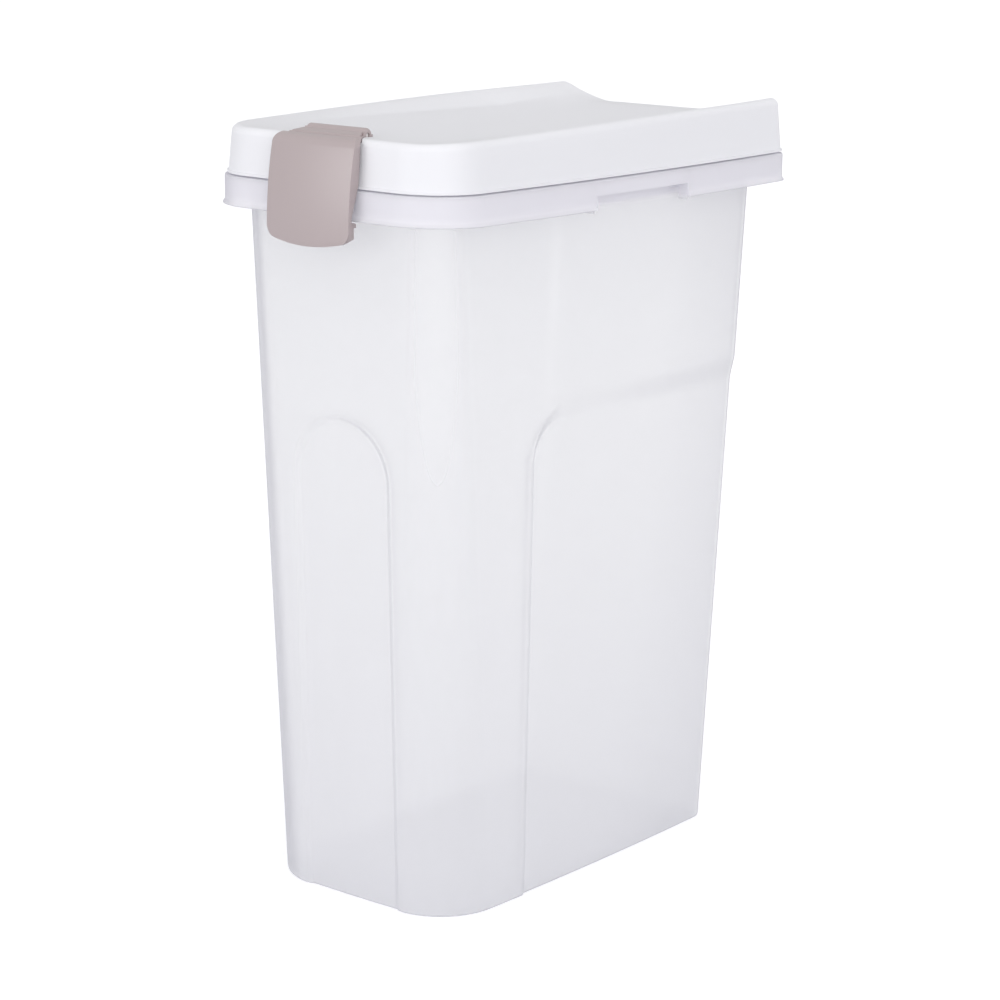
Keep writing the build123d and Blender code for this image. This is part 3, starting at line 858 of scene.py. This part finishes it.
def rounded(piece, width, segments, sharp=35):
    """Rounds all edges that are sharper than an angle, and shades what is smooth as smooth."""
    only_selected(piece)
    bevel = piece.modifiers.new("round", "BEVEL")
    bevel.width = width * mm
    bevel.segments = segments
    bevel.limit_method = "ANGLE"
    bevel.angle_limit = math.radians(sharp)
    bpy.ops.object.modifier_apply(modifier=bevel.name)
    bpy.ops.object.shade_smooth_by_angle(angle=math.radians(30))
    print(piece.name, "has", len(piece.data.polygons), "faces with round edges")


# %% The clip and where its barrel lies
clip = merged_copy("front_clip", "clip")
clip_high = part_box("front_clip")[1]
clip_barrel_radius = 4.4
clip_barrel_width = 49.0
barrel_y = clip_high.y / mm - clip_barrel_radius
barrel_z = clip_high.z / mm - clip_barrel_radius
flange_top = barrel_z + 0.1
print("the clip's barrel is at", round(barrel_y, 2), round(barrel_z, 2), "mm")

# %% The ramp up to the barrel
ramp_half_width, ramp_foot_half_width = 23, 30
ramp_foot, ramp_end = barrel_y - 14.5, barrel_y - 3.5
ramp_low, ramp_high = flange_top - 2, flange_top - 0.1
ramp_rise = 2.5
ramp = cube((-ramp_half_width, ramp_foot, ramp_low), (ramp_half_width, ramp_end, ramp_high))
select_faces(ramp, lambda at, normal: normal.y < -0.9)
bpy.ops.transform.resize(value=(ramp_foot_half_width / ramp_half_width, 1, 1))
bpy.ops.mesh.select_all(action="DESELECT")
bpy.ops.mesh.select_mode(type="VERT")
bpy.ops.object.mode_set(mode="OBJECT")
for vertex in ramp.data.vertices:
    vertex.select = vertex.co.y > (ramp_end - 0.5) * mm and vertex.co.z > (ramp_high - 0.9) * mm
bpy.ops.object.mode_set(mode="EDIT")
bpy.ops.transform.translate(value=(0, 0, ramp_rise * mm))
bpy.ops.object.mode_set(mode="OBJECT")
united(clip, [ramp])

# %% The channel before the ramp
channel_radius = 3.5
channel_depth = 1.1
channel_length = 80
channel_middle = (0, barrel_y - 14.3, flange_top + channel_radius - channel_depth)
bpy.ops.object.select_all(action="DESELECT")
united(clip, [crosswise_bar(channel_radius, channel_length, channel_middle, 64)], "DIFFERENCE")

# %% The round ends of the barrel
end_round, spare = 2.4, 0.06
bpy.ops.object.select_all(action="DESELECT")
round_bar = crosswise_bar(
    clip_barrel_radius + spare, clip_barrel_width + 2 * spare, (0, barrel_y, barrel_z), 96
)
round_bar.name = "round_bar"
rounded(round_bar, end_round, 6, sharp=60)

barrel_end = clip_barrel_width / 2
cutter_inner, cutter_outer = barrel_end - end_round - 0.1, barrel_end + 0.5
cutter_front, cutter_rear = barrel_y - 3.4, barrel_y + 5.0
cutter_low, cutter_high = barrel_z + 0.3, barrel_z + 5.0
cutters = []
for side in (-1, 1):
    ends = sorted((side * cutter_inner, side * cutter_outer))
    cutters.append(cube((ends[0], cutter_front, cutter_low), (ends[1], cutter_rear, cutter_high)))
    bpy.ops.object.mode_set(mode="OBJECT")
only_selected(*cutters)
bpy.ops.object.join()
end_cutter = bpy.context.object
united(end_cutter, [round_bar], "DIFFERENCE")
united(clip, [end_cutter], "DIFFERENCE")

# %% Finish the clip
rounded(clip, 0.7, 3)
clip.data.materials.clear()
clip.data.materials.append(taupe)
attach(clip, "clip")
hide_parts("front_clip")

# %% [markdown]
# ## Seal and pins
#
# The seal is a soft thermoplastic elastomer, which is duller and greyer than the lid, and feels dry.
# The pins are white acetal, turned smooth so that the knuckles slide on them, which gives them a sharper
# gloss than the mouldings. Both keep their CAD meshes, because their plain shapes are right.

# %% Materials of the seal and the pins
soft_seal = opaque_plastic(
    "thermoplastic_elastomer_moulded", "D4D4D8", 0.62, 1.5,
    grain=0.6, depth=0.02, wave=30, wave_depth=0.1,
)
smooth_pin = opaque_plastic(
    "acetal_turned", "F0F0F0", 0.28, 1.48,
    grain=0.5, depth=0.004, wave=10, wave_depth=0.01,
)

# %% Give the CAD nodes their finishes
for name, material in {
    "lid": white_plastic, "lid_seal": soft_seal, "clip_pin": smooth_pin,
    "hinge_pin_left": smooth_pin, "hinge_pin_right": smooth_pin,
}.items():
    for slot in nodes[name].material_slots:
        slot.material = material
    print(name, "is", material.name)
